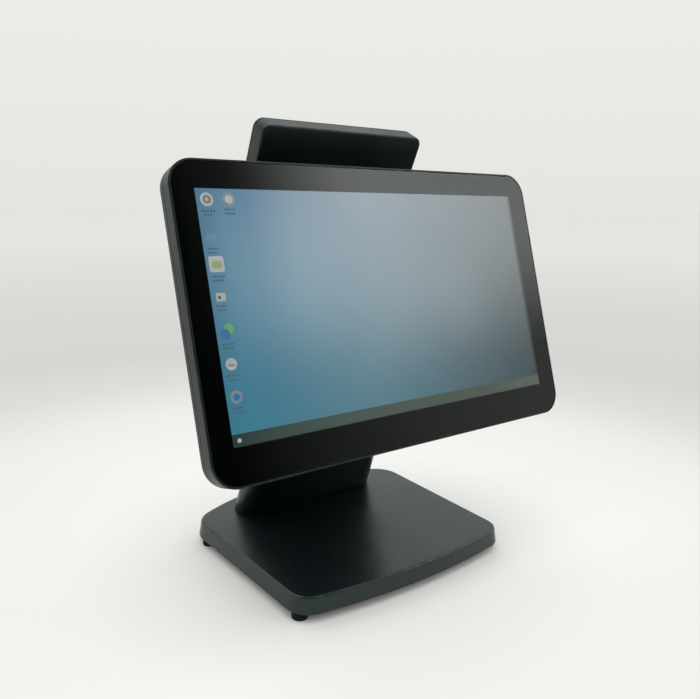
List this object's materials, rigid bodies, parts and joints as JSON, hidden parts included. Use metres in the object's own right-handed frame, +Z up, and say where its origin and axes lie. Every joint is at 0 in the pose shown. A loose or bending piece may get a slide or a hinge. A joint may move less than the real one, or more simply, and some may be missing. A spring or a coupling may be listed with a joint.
{
  "type": "pos touchscreen terminal",
  "caption": "Countertop sales terminal: a tilting touch screen on a leaning neck and wide weighted base, with a tilting customer display behind the top edge.",
  "frame": {"origin": "on the counter, at the middle of the overall footprint", "axes": "+Z up, -Y towards the operator, who faces +Y, +X to the operator's right"},
  "size_m": [0.3852, 0.2366, 0.4081],
  "materials": {
    "stand_plastic": "satin black moulded plastic",
    "bottom_plastic": "matt black moulded plastic",
    "weight_steel": "black painted steel plate",
    "foot_rubber": "matt black rubber",
    "screw_zinc": "zinc plated steel",
    "frame_steel": "black powder coated steel",
    "touch_glass": "clear touch glass with a black printed border",
    "frame_plastic": "charcoal moulded plastic",
    "picture": "lit picture panel in a metal frame",
    "chassis_zinc": "zinc coated sheet steel",
    "housing_plastic": "fine textured black moulded plastic",
    "shaft_steel": "turned steel",
    "circuit_board": "green solder mask on glass laminate",
    "heatsink_alloy": "extruded aluminium",
    "drive_alloy": "brushed aluminium case",
    "speaker_plastic": "black plastic speaker box",
    "socket_plastic": "black socket plastic",
    "socket_nickel": "nickel plated socket shell",
    "button_plastic": "black button plastic",
    "smoked_window": "smoked acrylic window",
    "digit_glass": "glass digit tube"
  },
  "bodies": {
    "stand": {"base_cover": "stand_plastic", "neck_front_cover": "stand_plastic", "neck_rear_cover": "stand_plastic", "base_weight_plate": "weight_steel", "base_bottom_cover": "bottom_plastic", "base_foot_front_l": "foot_rubber", "base_foot_front_r": "foot_rubber", "base_foot_rear_l": "foot_rubber", "base_foot_rear_r": "foot_rubber", "base_screw_1": "screw_zinc", "base_screw_2": "screw_zinc", "base_screw_3": "screw_zinc", "base_screw_4": "screw_zinc", "neck_frame": "frame_steel", "neck_bolt_l": "screw_zinc", "neck_bolt_r": "screw_zinc", "hinge_unit_l": "frame_steel", "hinge_unit_r": "frame_steel", "hinge_spacer": "stand_plastic"},
    "head": {"touch_glass": "touch_glass", "front_frame": "frame_plastic", "lcd_module": "picture", "chassis_plate": "chassis_zinc", "rear_housing": "housing_plastic", "back_cover": "housing_plastic", "housing_screw_1": "screw_zinc", "housing_screw_2": "screw_zinc", "housing_screw_3": "screw_zinc", "housing_screw_4": "screw_zinc", "head_bracket": "frame_steel", "bracket_screw_1": "screw_zinc", "bracket_screw_2": "screw_zinc", "bracket_screw_3": "screw_zinc", "bracket_screw_4": "screw_zinc", "hinge_shaft": "shaft_steel", "mainboard": "circuit_board", "heatsink": "heatsink_alloy", "solid_state_drive": "drive_alloy", "speaker_l": "speaker_plastic", "speaker_r": "speaker_plastic", "socket_plate": "chassis_zinc", "socket_dc": "socket_plastic", "socket_lan": "socket_nickel", "socket_usb_a": "socket_nickel", "socket_usb_b": "socket_nickel", "socket_drawer": "socket_plastic", "socket_serial": "socket_nickel", "socket_monitor": "socket_nickel", "socket_audio": "socket_plastic", "switch_board": "circuit_board", "customer_arm": "stand_plastic", "arm_screw_1": "screw_zinc", "arm_screw_2": "screw_zinc", "pivot_pin": "shaft_steel"},
    "power_button": {"power_button": "button_plastic"},
    "customer_display": {"customer_case": "housing_plastic", "customer_bezel": "housing_plastic", "customer_window": "smoked_window", "digit_tube": "digit_glass", "customer_board": "circuit_board"}
  },
  "joints": [
    {"name": "head_tilt", "type": "hinge", "parent": "stand", "child": "head", "pos_m": [0, -0.007, 0.2205], "axis": [-1, 0, 0], "range_deg": [-16, 45]},
    {"name": "power_press", "type": "slide", "parent": "head", "child": "power_button", "axis": [-1, 0, 0], "range_m": [0, 0.0008], "stiffness_N_per_m": 1200, "springref_m": -0.0003},
    {"name": "customer_tilt", "type": "hinge", "parent": "head", "child": "customer_display", "pos_m": [0, 0.03931, 0.33654], "axis": [-1, 0, 0], "range_deg": [-10, 35]}
  ]
}
